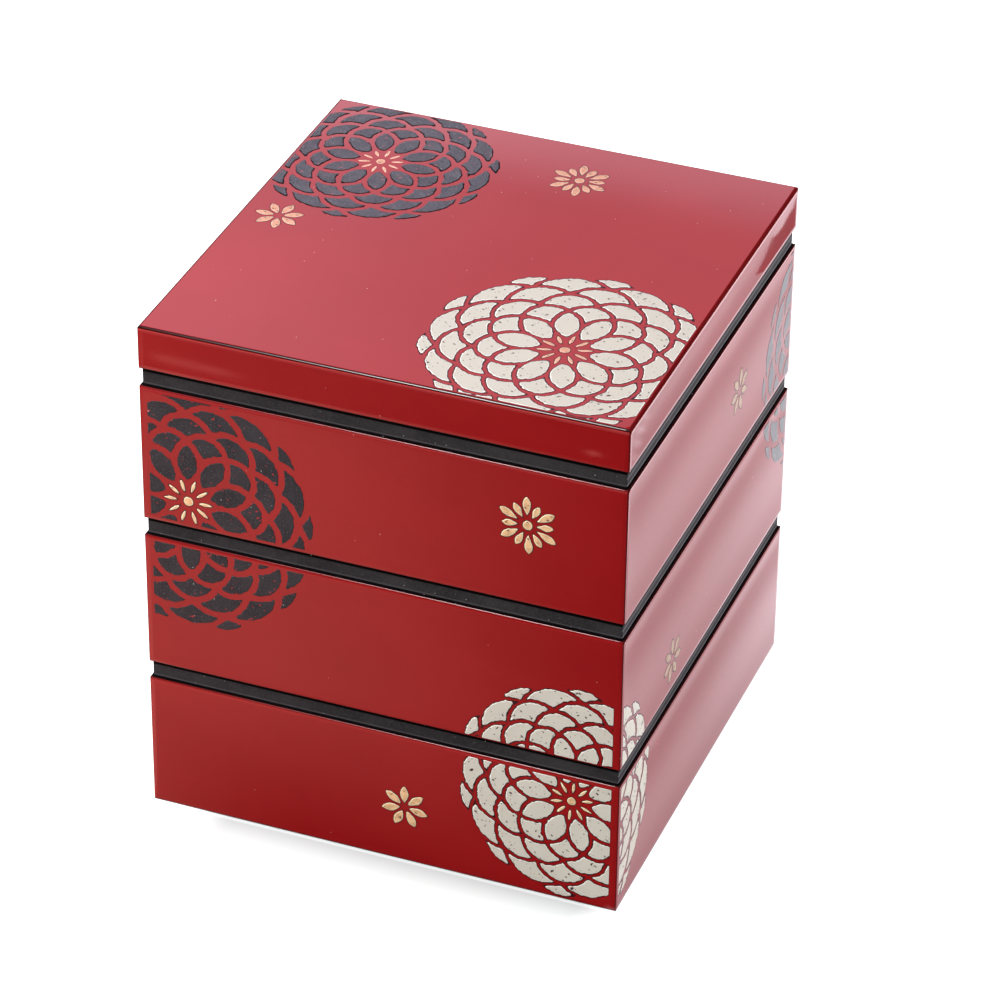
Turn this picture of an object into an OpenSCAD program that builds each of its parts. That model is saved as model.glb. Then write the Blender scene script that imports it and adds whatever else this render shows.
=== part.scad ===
// Stacking lacquer food box: three tiers and a lid, square in plan.
// Wood-core boards, comb-jointed at the corners, with a floor board let into a groove.
// Each tier ends in a black stepped rim of four mitred strips. The rim's tongue sits in the
// boards below it, its flat seat carries the next tier, and its lip locates that tier.
// +Z is up, the front faces -Y, and the origin is the middle of the lowest tier's footprint.

/* [Box] */
// Outer width and depth over the lacquer
box_w = 180; // [150:1:240]
// Height that one tier adds to the stack, from its lower edge to the seat on its rim
tier_pitch = 61.5; // [45:0.5:90]
// Height of the lid above the uppermost seat
lid_h = 17; // [15:0.5:30]
// Rounding of the upright corners, seen from above
corner_r = 0.6; // [0.3:0.1:2]
// Rounding along the lower edge of each tier and of the lid
lower_edge_r = 0.7; // [0.3:0.1:1.2]
// Rounding along the shelf edge that the rim leaves on top of the boards
shelf_edge_r = 0.5; // [0.2:0.1:0.6]
// Rounding along the lid's upper edge
lid_edge_r = 1.1; // [0.5:0.1:2.5]

/* [Boards] */
// Thickness of the side boards and of the lid's skirt boards
wall_t = 7; // [6.4:0.2:10]
// Number of comb fingers up each corner of a tier
tier_fingers = 7; // [3:2:11]
// Number of comb fingers up each corner of the lid's skirt
lid_fingers = 3; // [3:2:5]
// Thickness of a tier's floor board
floor_t = 3.5; // [2.5:0.5:6]
// Depth that the floor board's edge runs into the side boards
floor_groove_d = 3; // [1.5:0.5:4]
// Play at the floor board's edge, so that the wood can move
floor_play = 0.2; // [0.1:0.1:0.6]
// Wood left between the rebate for the lip and the floor board's groove
floor_land = 1.5; // [1:0.5:4]
// Thickness of the lid's top board over the skirt
lid_board_t = 7; // [4:0.5:9]
// Height of the raised field under the lid's top board, which drops inside the skirt
lid_field_h = 1.5; // [0.5:0.5:3]

/* [Rim] */
// Height of the black band that shows above the side boards
band_h = 6.8; // [4:0.2:12]
// Distance that the band is set in from the boards' outer face
band_inset = 1; // [0.9:0.1:1.2]
// Rounding of the band's corners, seen from above
band_corner_r = 0.6; // [0.3:0.1:1.5]
// Radius of the hollow that runs along the band's foot
cove_r = 0.45; // [0.2:0.05:0.5]
// Height of the square edge under the hollow
cove_foot_h = 0.3; // [0.2:0.1:1]
// Height of the locating lip above the seat
lip_h = 3; // [2:0.5:5]
// Thickness of the locating lip
lip_t = 2.2; // [1.6:0.1:3]
// Rounding of the lip's corners, seen from above
lip_corner_r = 1.2; // [0.8:0.1:1.5]
// Rounding along the lip's outer upper edge, which leads the next tier on
lip_lead_r = 0.8; // [0.3:0.1:1]
// Clearance beside the lip, all round
lip_side_gap = 0.35; // [0.3:0.05:0.6]
// Clearance over the lip
lip_top_gap = 0.5; // [0.3:0.1:1]
// Width of the tongue that holds the rim in the boards
tongue_w = 2.4; // [1.6:0.2:3]
// Depth of the tongue
tongue_h = 3; // [2:0.5:6]
// Room for glue under the tongue
tongue_glue_gap = 0.2; // [0.1:0.1:0.5]

/* [Hidden] */
half = box_w / 2;
inner_half = half - wall_t;                        // inner face of the boards
board_h = tier_pitch - band_h;                     // height of a tier's side boards
rebate_half = inner_half + lip_t + lip_side_gap;   // outer side of the rebate over a lip
rebate_h = lip_h + lip_top_gap;                    // height of that rebate
floor_z = rebate_h + floor_land;                   // underside of the floor board
tongue_mid = half - wall_t / 2;                    // the tongue stands in the middle of the board
lid_z = 3 * tier_pitch;                            // lower edge of the lid
skirt_h = lid_h - lid_board_t;                     // height of the skirt boards
cut = 1;                                           // how far cutters run past what they cut
$fn = 64;

red = "#8f1a20";
black = "#38363a";

// Square prism about the Z axis
module square_prism(h, z0, z1) {
    translate([-h, -h, z0]) cube([2 * h, 2 * h, z1 - z0]);
}

// Sweeps a section round a square with rounded corners. The section's x is measured
// outwards from the corner centres, and its y is the height.
module sweep_square(h, r) {
    reach = h - r;
    for (turn = [0 : 90 : 270]) rotate(turn) translate([reach, reach, 0]) {
        rotate_extrude(angle = 90) children();
        rotate([90, 0, 0]) linear_extrude(2 * reach) children();
    }
}

// Square with rounded corners, seen from above
module rounded_square(h, r) {
    square([2 * h, 2 * (h - r)], center = true);
    square([2 * (h - r), 2 * h], center = true);
    for (x = [-1, 1], y = [-1, 1]) translate([x, y] * (h - r)) circle(r);
}

// Upright section through a block, with both lower and both upper edges rounded
module edge_section(h, height, low_r, high_r) {
    translate([-h, low_r]) square([2 * h, height - low_r - high_r]);
    translate([low_r - h, 0]) square([2 * (h - low_r), height / 2]);
    translate([high_r - h, height / 2]) square([2 * (h - high_r), height / 2]);
    for (x = [-1, 1]) {
        if (low_r > 0) translate([x * (h - low_r), low_r]) circle(low_r);
        if (high_r > 0) translate([x * (h - high_r), height - high_r]) circle(high_r);
    }
}

// Square block with rounded upright corners, and edges rounded from face to face, as a plane
// leaves them: the roundings of two faces meet in a mitre at each corner
module rounded_block(h, r, height, low_r, high_r) {
    intersection() {
        translate([0, 0, -cut]) linear_extrude(height + 2 * cut) rounded_square(h, r);
        rotate([90, 0, 0]) linear_extrude(2 * (h + cut), center = true)
            edge_section(h, height, low_r, high_r);
        rotate([90, 0, 90]) linear_extrude(2 * (h + cut), center = true)
            edge_section(h, height, low_r, high_r);
    }
}

// The space one board of a comb-jointed frame takes: the length between the corners, and
// every other finger through each corner. Face 0 is the front, and the rest follow
// anticlockwise, seen from above. The front and back boards hold the outer fingers.
module comb_board_space(face, height, fingers) {
    finger_h = height / fingers;
    first = face % 2;
    rotate(90 * face) {
        translate([-inner_half, -half - cut, 0]) cube([2 * inner_half, wall_t + cut, height]);
        for (end = [-half - cut, inner_half], i = [first : 2 : fingers - 1])
            translate([end, -half - cut, i * finger_h])
                cube([wall_t + cut, wall_t + cut, finger_h]);
    }
}

// Rebate inside a lower edge, which goes over the lip below
module lip_rebate() {
    square_prism(rebate_half, -cut, rebate_h);
}

// One of the four side boards of a tier, standing on z = 0
module side_board(face) {
    color(red) difference() {
        intersection() {
            rounded_block(half, corner_r, board_h, lower_edge_r, shelf_edge_r);
            comb_board_space(face, board_h, tier_fingers);
        }
        lip_rebate();
        square_prism(inner_half + floor_groove_d, floor_z, floor_z + floor_t);
        tongue_ring(board_h - tongue_h - tongue_glue_gap, board_h + cut);
    }
}

// Floor board of a tier
module floor_board() {
    color(black) square_prism(inner_half + floor_groove_d - floor_play, floor_z, floor_z + floor_t);
}

// Square ring in the middle of the boards' thickness
module tongue_ring(z0, z1) {
    difference() {
        square_prism(tongue_mid + tongue_w / 2, z0, z1);
        square_prism(tongue_mid - tongue_w / 2, z0 - cut, z1 + cut);
    }
}

// Section of the band from the corner centres out: a flat face with a hollow along its foot
module band_section() {
    square([band_corner_r, band_h]);
    difference() {
        square([band_corner_r + cove_r, cove_foot_h + cove_r]);
        translate([band_corner_r + cove_r, cove_foot_h + cove_r]) circle(cove_r);
    }
}

// The four rim strips in one ring, with band, seat, lip and tongue, from z = board_h
module rim_ring() {
    difference() {
        union() {
            translate([0, 0, board_h]) {
                sweep_square(half - band_inset, band_corner_r) band_section();
                square_prism(half - band_inset - band_corner_r, 0, band_h);
            }
            translate([0, 0, board_h])
                rounded_block(inner_half + lip_t, lip_corner_r, band_h + lip_h, 0, lip_lead_r);
        }
        square_prism(inner_half, board_h - cut, tier_pitch + lip_h + cut);
    }
    tongue_ring(board_h - tongue_h, board_h + band_h / 2);
}

// One rim strip, mitred at both ends
module rim_strip(face) {
    color(black) intersection() {
        rim_ring();
        rotate(90 * face) translate([0, 0, board_h - tongue_h - cut])
            linear_extrude(tongue_h + band_h + lip_h + 2 * cut)
                polygon([[0, 0], [-box_w, -box_w], [box_w, -box_w]]);
    }
}

// Outer form of the lid, standing on z = 0
module lid_form() {
    rounded_block(half, corner_r, lid_h, lower_edge_r, lid_edge_r);
}

// One of the four boards of the lid's skirt
module lid_skirt_board(face) {
    color(red) difference() {
        intersection() {
            lid_form();
            comb_board_space(face, skirt_h, lid_fingers);
        }
        lip_rebate();
    }
}

// The lid's top board, with the raised field that drops inside the skirt
module lid_top_board() {
    color(red) {
        intersection() {
            lid_form();
            square_prism(half + cut, skirt_h, lid_h + cut);
        }
        square_prism(inner_half, skirt_h - lid_field_h, skirt_h + cut);
    }
}

// Puts a piece on its tier: 0 is the lowest
module on_tier(level) {
    translate([0, 0, level * tier_pitch]) children();
}

// Puts a piece on the uppermost seat
module on_stack() {
    translate([0, 0, lid_z]) children();
}

on_tier(0) side_board(0);  // lower_wall_front
on_tier(0) side_board(1);  // lower_wall_right
on_tier(0) side_board(2);  // lower_wall_back
on_tier(0) side_board(3);  // lower_wall_left
on_tier(0) floor_board();  // lower_floor
on_tier(0) rim_strip(0);  // lower_rim_front
on_tier(0) rim_strip(1);  // lower_rim_right
on_tier(0) rim_strip(2);  // lower_rim_back
on_tier(0) rim_strip(3);  // lower_rim_left
on_tier(1) side_board(0);  // middle_wall_front
on_tier(1) side_board(1);  // middle_wall_right
on_tier(1) side_board(2);  // middle_wall_back
on_tier(1) side_board(3);  // middle_wall_left
on_tier(1) floor_board();  // middle_floor
on_tier(1) rim_strip(0);  // middle_rim_front
on_tier(1) rim_strip(1);  // middle_rim_right
on_tier(1) rim_strip(2);  // middle_rim_back
on_tier(1) rim_strip(3);  // middle_rim_left
on_tier(2) side_board(0);  // upper_wall_front
on_tier(2) side_board(1);  // upper_wall_right
on_tier(2) side_board(2);  // upper_wall_back
on_tier(2) side_board(3);  // upper_wall_left
on_tier(2) floor_board();  // upper_floor
on_tier(2) rim_strip(0);  // upper_rim_front
on_tier(2) rim_strip(1);  // upper_rim_right
on_tier(2) rim_strip(2);  // upper_rim_back
on_tier(2) rim_strip(3);  // upper_rim_left
on_stack() lid_skirt_board(0);  // lid_skirt_front
on_stack() lid_skirt_board(1);  // lid_skirt_right
on_stack() lid_skirt_board(2);  // lid_skirt_back
on_stack() lid_skirt_board(3);  // lid_skirt_left
on_stack() lid_top_board();  // lid_top
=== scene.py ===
"""Looks of a stacking lacquer box: three tiers and a lid, red outside, black inside.

The boards, floors and rims are the CAD nodes, dressed in lacquer that is worked out from the place on
the object, with painted highlights and painted shade along edges, corners and joins. The chrysanthemum
roundels and the small flowers are thin raised prints, drawn by formula on each face. Millimetres are
used for the drawing and turned into metres where a mesh or a node needs it.
"""

import math

import bpy
import numpy as np
from mathutils import Matrix, Vector
from mathutils.geometry import tessellate_polygon


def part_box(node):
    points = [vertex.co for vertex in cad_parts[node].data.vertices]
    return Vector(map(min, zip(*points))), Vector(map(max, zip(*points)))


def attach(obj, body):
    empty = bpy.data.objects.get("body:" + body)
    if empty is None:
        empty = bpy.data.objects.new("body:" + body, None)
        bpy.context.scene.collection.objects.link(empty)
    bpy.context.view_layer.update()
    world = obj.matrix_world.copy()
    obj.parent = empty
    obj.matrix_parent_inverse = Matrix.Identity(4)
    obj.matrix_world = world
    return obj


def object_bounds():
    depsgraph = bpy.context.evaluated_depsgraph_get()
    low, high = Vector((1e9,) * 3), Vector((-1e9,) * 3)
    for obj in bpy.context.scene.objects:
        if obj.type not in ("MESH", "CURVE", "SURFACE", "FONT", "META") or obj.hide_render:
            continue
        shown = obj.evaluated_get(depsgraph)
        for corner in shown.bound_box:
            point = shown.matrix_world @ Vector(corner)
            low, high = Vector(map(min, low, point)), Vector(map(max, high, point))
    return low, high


MM = 0.001

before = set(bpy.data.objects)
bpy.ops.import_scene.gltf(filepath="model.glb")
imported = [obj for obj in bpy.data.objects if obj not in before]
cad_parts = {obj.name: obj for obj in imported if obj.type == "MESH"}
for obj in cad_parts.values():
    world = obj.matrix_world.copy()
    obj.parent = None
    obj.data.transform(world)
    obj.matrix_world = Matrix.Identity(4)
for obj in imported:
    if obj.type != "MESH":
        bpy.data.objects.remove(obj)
cad_low, cad_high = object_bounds()

# ---- levels and faces, from the CAD nodes

half = cad_high.x / MM  # outer face of a board, from the middle
tier_base = {t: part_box(f"{t}_wall_front")[0].z / MM for t in ("lower", "middle", "upper")}
tier_top = {t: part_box(f"{t}_wall_front")[1].z / MM for t in ("lower", "middle", "upper")}
lid_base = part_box("lid_skirt_front")[0].z / MM
lid_top = cad_high.z / MM

# ---- camera, as solved from the box's edges

CAM_AZIMUTH, CAM_ELEVATION, CAM_ROLL = 20.718, 32.9215, 0.7407  # degrees
CAM_DISTANCE = 1668.43  # mm from the aimed point
CAM_AIM = Vector((0, 0, 100))  # mm
CAM_SIDE, CAM_RISE = -9.5171, 1.5621  # mm, the object's shift in the view
FOCAL_PX, FRAME_PX, SENSOR_MM = 4578.37, 1001, 36.0


def placed(name, data):
    """A new object of the scene."""
    made = bpy.data.objects.new(name, data)
    bpy.context.scene.collection.objects.link(made)
    return made


def add_camera():
    """The camera at the photograph's angle, distance and field of view."""
    azimuth, elevation, roll = (math.radians(a) for a in (CAM_AZIMUTH, CAM_ELEVATION, CAM_ROLL))
    back = Vector((math.sin(azimuth) * math.cos(elevation), -math.cos(azimuth) * math.cos(elevation),
                   math.sin(elevation)))
    level = Vector((0, 0, 1)).cross(back).normalized()
    rise = back.cross(level)
    right = level * math.cos(roll) + rise * math.sin(roll)
    up = rise * math.cos(roll) - level * math.sin(roll)
    place = (CAM_AIM + back * CAM_DISTANCE - right * CAM_SIDE - up * CAM_RISE) * MM
    data = bpy.data.cameras.new("camera")
    data.sensor_width = SENSOR_MM
    data.lens = FOCAL_PX / FRAME_PX * SENSOR_MM
    data.clip_start, data.clip_end = 0.05, 20
    camera = placed("camera", data)
    camera.matrix_world = Matrix((
        (right.x, up.x, back.x, place.x),
        (right.y, up.y, back.y, place.y),
        (right.z, up.z, back.z, place.z),
        (0, 0, 0, 1)))
    bpy.context.scene.camera = camera


# ---- material building blocks

class Graph:
    """Short ways to add and join the nodes of a material or a world."""

    def __init__(self, tree):
        self.tree = tree

    def feed(self, socket, value):
        if isinstance(value, bpy.types.NodeSocket):
            self.tree.links.new(value, socket)
        else:
            socket.default_value = value

    def add(self, kind, *values, **settings):
        """A new node; the values go into its inputs in order, and None leaves one as it is."""
        node = self.tree.nodes.new("ShaderNode" + kind)
        for name, value in settings.items():
            setattr(node, name, value)
        for socket, value in zip(node.inputs, values):
            if value is not None:
                self.feed(socket, value)
        return node

    def math(self, kind, a, b=0.0, c=0.0, clamp=False):
        return self.add("Math", a, b, c, operation=kind, use_clamp=clamp).outputs[0]

    def ramp(self, value, low, high, to_low=0.0, to_high=1.0, smooth=True):
        """Maps low..high to to_low..to_high, held at both ends."""
        kind = "SMOOTHSTEP" if smooth else "LINEAR"
        return self.add("MapRange", value, low, high, to_low, to_high,
                        interpolation_type=kind, clamp=True).outputs[0]


class Nodes(Graph):
    """A material. Lengths are in metres unless named mm."""

    def __init__(self, name):
        self.material = bpy.data.materials.new(name)
        self.material.use_nodes = True
        super().__init__(self.material.node_tree)
        self.tree.nodes.clear()
        self.shader = self.add("BsdfPrincipled")
        self.add("OutputMaterial", self.shader.outputs[0])
        self.place = self.add("TexCoord").outputs["Object"]

    def set(self, **values):
        """Sets or links the shader's sockets: names with _ for a space."""
        for name, value in values.items():
            self.feed(self.shader.inputs[name.replace("_", " ")], value)

    def vector(self, kind, a, b=None):
        return self.add("VectorMath", a, b, operation=kind).outputs[0]

    def noise(self, scale, detail=2.0, roughness=0.5, stretch=None):
        """Noise from 0 to 1 round 0.5; scale is in features per metre."""
        place = self.vector("MULTIPLY", self.place, stretch) if stretch else self.place
        return self.add("TexNoise", place, None, scale, detail, roughness).outputs["Fac"]

    def cells(self, scale, output="Distance", place=None):
        """Voronoi cells over a face; scale is in cells per metre."""
        node = self.add("TexVoronoi", place or self.place, None, scale, voronoi_dimensions="2D")
        return node.outputs[output]

    def ramp_mm(self, value, low, high, to_low=0.0, to_high=1.0):
        """A ramp over a length, with low and high in mm."""
        return self.ramp(value, low * MM, high * MM, to_low, to_high)

    def strip_mm(self, value, start, full, fade, end):
        """For a length: 0 up to start, 1 from full to fade, and 0 again from end, all in mm."""
        return self.math("MULTIPLY", self.ramp_mm(value, start, full), self.ramp_mm(value, end, fade))

    def mix(self, share, a, b):
        node = self.add("Mix", share, data_type="RGBA")
        for socket, value in ((node.inputs[6], a), (node.inputs[7], b)):
            self.feed(socket, value if isinstance(value, bpy.types.NodeSocket) else (*value[:3], 1))
        return node.outputs[2]

    def clouded(self, scale, a, b, roughness=0.6):
        """A colour that drifts from a to b and back in soft clouds."""
        return self.mix(self.ramp(self.noise(scale, 3.0, roughness), 0.35, 0.7), a, b)

    def drifting(self, scale, low, high):
        """A value that drifts from low to high and back, as a surface's roughness does."""
        return self.ramp(self.noise(scale), 0.3, 0.7, low, high)

    def bump(self, height, distance, before=None):
        node = self.add("Bump")
        self.feed(node.inputs["Distance"], distance)
        self.feed(node.inputs["Height"], height)
        if before is not None:
            self.feed(node.inputs["Normal"], before)
        return node.outputs[0]

    def axes(self, place=None):
        return self.add("SeparateXYZ", place or self.place).outputs

    def joined(self, x, y, z=0.0):
        return self.add("CombineXYZ", x, y, z).outputs[0]

    def across(self):
        """The sizes of x and y, without their signs."""
        x, y, _ = self.axes()
        return self.math("ABSOLUTE", x), self.math("ABSOLUTE", y)

    def side_depth(self):
        """How far inside the box's outer faces a point lies."""
        return self.math("SUBTRACT", half * MM, self.math("MAXIMUM", *self.across()))

    def corner_depth(self):
        """How far a point of an outer face lies from the nearest upright edge."""
        return self.math("SUBTRACT", half * MM, self.math("MINIMUM", *self.across()))

    def on_side(self):
        """1 on the left and right faces, 0 on the front and back."""
        return self.math("GREATER_THAN", *self.across())

    def by_face(self, front, side):
        """One value on the front and back faces and another on the left and right."""
        return self.ramp(self.on_side(), 0.0, 1.0, front, side)

    def face_place(self, on_top):
        """The place across and up a face, flat, so that specks keep their size."""
        x, y, z = self.axes()
        return self.joined(x, y) if on_top else self.joined(self.math("ADD", x, y), z)

    def warped(self, place, scale, reach):
        """A place, shifted here and there by up to reach, so that round specks turn ragged."""
        colour = self.add("TexNoise", self.place, None, scale, 2.0).outputs["Color"]
        centred = self.vector("ADD", colour, (-0.5, -0.5, -0.5))
        return self.vector("ADD", place, self.vector("MULTIPLY", centred, (2 * reach,) * 3))

    def turned(self, place, degrees, stretch):
        """A flat place turned, then drawn out, so that specks on it are longer than they are wide."""
        node = self.add("Mapping", place, None, (0, 0, math.radians(degrees)))
        return self.vector("MULTIPLY", node.outputs[0], (1.0 / stretch, 1.0, 1.0))

    def specks(self, place, cells_per_m, share, radius, edge=0.35):
        """Small specks: 1 inside. A share of the cells holds one; the radius is the largest."""
        spot = self.cells(cells_per_m, place=place)
        pick = self.add("SeparateColor", self.cells(cells_per_m, "Color", place)).outputs
        chosen = self.math("LESS_THAN", pick[0], share)
        size = self.math("MULTIPLY_ADD", pick[1], 0.7, 0.45)
        reach = self.math("MULTIPLY", size, radius * cells_per_m)
        inside = self.math("SUBTRACT", 1.0, self.math("DIVIDE", spot, reach), clamp=True)
        return self.math("MULTIPLY", chosen, self.ramp(inside, 0.0, edge))

    def eased_normal(self, sideways, rise):
        """The surface normal, eased over towards the upright edges and up or down, and made unit long."""
        surface = self.add("NewGeometry").outputs["Normal"]
        x, y, _ = self.axes()
        push = self.joined(self.math("MULTIPLY", self.math("SIGN", x), sideways),
                           self.math("MULTIPLY", self.math("SIGN", y), sideways), rise)
        return self.vector("NORMALIZE", self.vector("ADD", surface, push))


def mixed(a, b, share):
    return tuple(x + (y - x) * share for x, y in zip(a, b))


RED = (0.285, 0.0062, 0.0078)
RED_THIN_AND_HIGHLIGHT = (0.330, 0.014, 0.013)  # paler red: thin lacquer in clouds and grain, and the painted highlight lines along edges
RED_GLEAM = (0.430, 0.045, 0.040)  # a painted highlight: the pale line under the lid's upper edge
BLACK = (0.024, 0.0215, 0.023)
BLACK_CLOUD = (0.0396, 0.0356, 0.0362)  # its lighter clouds
RIM_BLACK, RIM_GRAIN = (0.038, 0.034, 0.036), (0.050, 0.046, 0.048)
CREST_HIGHLIGHT, BROW_HIGHLIGHT = (0.150, 0.142, 0.156), (0.125, 0.118, 0.130)  # painted highlights: the two pale lines along a band
SHADE_BLACK = (0.0025, 0.0020, 0.0022)  # painted shade in the joins, at the corners and along edges, and painted dark reflections
DUST, RIM_DUST = (0.62, 0.40, 0.40), (0.40, 0.38, 0.38)
LACQUER_IOR, RIM_IOR, PAINT_IOR = 1.50, 1.07, 1.46
SKIN = (0.72, 0.85)  # mm under the outer face where a board turns black inside
PITCH = tier_base["middle"] - tier_base["lower"]
BOARD_H = tier_top["lower"] - tier_base["lower"]
BAND_H = PITCH - BOARD_H


def lacquer_wave(n, before):
    """The long soft waves and the fine orange peel of brushed and polished lacquer, as a normal."""
    waves = n.bump(n.noise(24, 1.0, 0.4), 0.000042, before)
    return n.bump(n.noise(420, 2.0, 0.55), 0.0000014, waves)


def over_foot(n):
    """The height over the lower edge of the tier or lid that a point is on."""
    turns = n.math("FRACT", n.math("DIVIDE", n.math("ADD", n.axes()[2], 0.00001), PITCH * MM))
    return n.math("MULTIPLY", turns, PITCH * MM)


def lid_board_tone(n, tone):
    """The lid's top board: a painted highlight line and a painted dark reflection line along its upper edge,
    dust, black below.
    """
    z = n.axes()[2]
    inside = n.math("MULTIPLY", n.ramp_mm(z, lid_top - 3.3, lid_top - 3.4), n.ramp_mm(n.side_depth(), *SKIN))
    dust = n.math("MULTIPLY", n.specks(n.face_place(True), 110, 0.16, 0.00026),
                  n.math("GREATER_THAN", z, (lid_top - 0.2) * MM))
    # painted highlight: a pale red line under the upper edge
    gleam = n.strip_mm(z, lid_top - 1.45, lid_top - 1.15, lid_top - 0.90, lid_top - 0.80)
    tone = n.mix(n.math("MULTIPLY", gleam, 0.65), tone, RED_GLEAM)
    # painted dark reflection: a near black line along the rounded upper edge, weaker on the sides
    start = n.by_face((lid_top - 0.84) * MM, (lid_top - 1.25) * MM)
    dark_reflection_line = n.math("MULTIPLY", n.ramp_mm(n.math("SUBTRACT", z, start), 0.0, 0.1),
                     n.ramp(n.side_depth(), n.by_face(0.00096, 0.00125), 0.00086))
    tone = n.mix(n.math("MULTIPLY", dark_reflection_line, n.by_face(0.90, 0.60)), tone, SHADE_BLACK)
    front_rise = n.ramp_mm(z, lid_top - 2.6, lid_top - 1.3, 0.0, 0.18)
    side_rise = n.math("ADD", n.ramp_mm(z, lid_top - 2.6, lid_top - 1.5, 0.0, 0.11),
                       n.ramp_mm(z, lid_top - 1.30, lid_top - 1.10, 0.0, 0.60))
    return tone, inside, dust, n.by_face(front_rise, side_rise)


def side_board_tone(n, tone):
    """A side board: painted highlight lines near its long edges, painted shade on the ledge under a band and
    along its lowest edge, black below.
    """
    inside = n.ramp_mm(n.side_depth(), *SKIN)
    up = over_foot(n)
    # painted highlight lines: paler red near the board's foot and under its ledge
    foot_highlight = n.strip_mm(up, 0.6, 0.9, 1.0, 1.8)
    ledge_highlight = n.strip_mm(up, BOARD_H - 2.0, BOARD_H - 1.3, BOARD_H - 1.0, BOARD_H - 0.6)
    tone = n.mix(n.math("MULTIPLY", n.math("MAXIMUM", foot_highlight, ledge_highlight), 0.35), tone, RED_THIN_AND_HIGHLIGHT)
    # painted shade: the ledge under a band and the lip over it, nearly black
    lip = n.math("MULTIPLY", n.ramp_mm(up, BOARD_H - 0.50, BOARD_H - 0.38), n.by_face(0.5, 1.0))
    lip = n.math("MULTIPLY", lip, n.ramp_mm(n.side_depth(), 0.40, 0.25))
    shaded = n.math("MAXIMUM", n.ramp_mm(n.side_depth(), 0.22, 0.32), lip)
    tone = n.mix(n.math("MULTIPLY", shaded, 0.90), tone, SHADE_BLACK)
    # painted shade: black along the board's lowest edge
    tone = n.mix(n.ramp_mm(up, 0.64, 0.50), tone, SHADE_BLACK)
    dust = n.specks(n.face_place(False), 100, 0.07, 0.00026)
    rise = n.math("SUBTRACT", n.ramp_mm(up, BOARD_H - 1.9, BOARD_H - 0.7, 0.0, 0.18),
                  n.ramp_mm(up, 1.9, 0.9, 0.0, 0.16))
    return tone, inside, dust, rise


def red_lacquer(name, board_tone):
    """Glossy red lacquer outside and, deeper than the skin of a board, satin black inside."""
    n = Nodes(name)
    grain = n.noise(60, 3.0, 0.6, stretch=(0.25, 0.25, 1.0))
    tone = n.mix(n.ramp(n.noise(14, 3.0, 0.55), 0.35, 0.68), mixed(RED, (0, 0, 0), 0.05),
                 mixed(RED, RED_THIN_AND_HIGHLIGHT, 0.22))
    tone = n.mix(n.ramp(grain, 0.45, 0.75, 0, 0.10), tone, RED_THIN_AND_HIGHLIGHT)
    tone, inside, dust, rise = board_tone(n, tone)
    # painted shade: darker along the upright corners
    corner = n.math("MULTIPLY", n.ramp_mm(n.corner_depth(), 0.50, 0.25), 0.62)
    tone = n.mix(corner, tone, SHADE_BLACK)
    tone = n.mix(n.math("MULTIPLY", dust, 0.5), tone, DUST)
    tone = n.mix(inside, tone, n.clouded(40, BLACK, BLACK_CLOUD, 0.5))
    rough = n.math("ADD", n.drifting(35, 0.016, 0.030), n.math("MULTIPLY", dust, 0.3))
    rough = n.math("ADD", rough, n.math("MULTIPLY", inside, 0.16))
    eased = n.eased_normal(n.ramp_mm(n.corner_depth(), 2.2, 0.8, 0.0, 0.14), rise)
    n.set(Base_Color=tone, Roughness=rough, IOR=LACQUER_IOR, Normal=lacquer_wave(n, eased))
    return n.material


def black_lacquer(name):
    """Satin black lacquer of the rims and floors: fine grain, dust, painted highlight lines along a band,
    and painted shade, black, along its two joins.
    """
    n = Nodes(name)
    tone = n.clouded(45, BLACK, RIM_BLACK)
    tone = n.mix(n.ramp(n.noise(1500, 2.0, 0.7), 0.40, 0.70, 0, 0.5), tone, RIM_GRAIN)
    in_band = n.math("SUBTRACT", over_foot(n), BOARD_H * MM)
    # painted highlights: a pale line over the band's foot, strongest on the sides, and one higher up on the
    # sides only
    crest_highlight = n.strip_mm(in_band, 0.75, 0.95, 1.20, 1.50)
    tone = n.mix(n.math("MULTIPLY", crest_highlight, n.by_face(0.25, 1.0)), tone, CREST_HIGHLIGHT)
    brow_highlight = n.strip_mm(in_band, 3.3, 3.6, 3.9, 4.2)
    tone = n.mix(n.math("MULTIPLY", brow_highlight, n.on_side()), tone, BROW_HIGHLIGHT)
    # painted shade: black just over the band's foot and under the board above
    foot = n.math("MULTIPLY", n.ramp_mm(in_band, 0.85, 0.60), n.math("GREATER_THAN", in_band, -0.0005))
    head_shade = n.ramp_mm(in_band, BAND_H - 1.45, BAND_H - 1.15)
    tone = n.mix(n.math("MAXIMUM", foot, head_shade), tone, SHADE_BLACK)
    dust = n.specks(n.face_place(False), 260, 0.10, 0.00024)
    tone = n.mix(n.math("MULTIPLY", dust, 0.55), tone, RIM_DUST)
    normal = n.bump(n.noise(900), 0.000006, n.bump(n.noise(40, 1.0), 0.00010))
    n.set(Base_Color=tone, Roughness=n.drifting(90, 0.34, 0.44), IOR=RIM_IOR, Normal=normal)
    return n.material


# Paints: colours that more than one of them uses, or that mark a flaw in one
CREAM_SHADE = (0.50, 0.43, 0.36)
WHITE_PIT, GOLD_PIT = (0.045, 0.018, 0.017), (0.17, 0.06, 0.04)
CHARCOAL, PALE_SPECK = (0.062, 0.057, 0.063), (0.50, 0.46, 0.47)
GOLD_SHADE = (0.42, 0.20, 0.10)
# painted shade, middle tone and painted highlight of the lid's black print rim
RIM_SHADED, RIM_MIDDLE, RIM_LIT = (0.002, 0.0015, 0.002), (0.030, 0.028, 0.042), (0.12, 0.10, 0.12)
# painted shade round a raised print
LINE_SHADE = (0.022, 0.006, 0.008)


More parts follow.
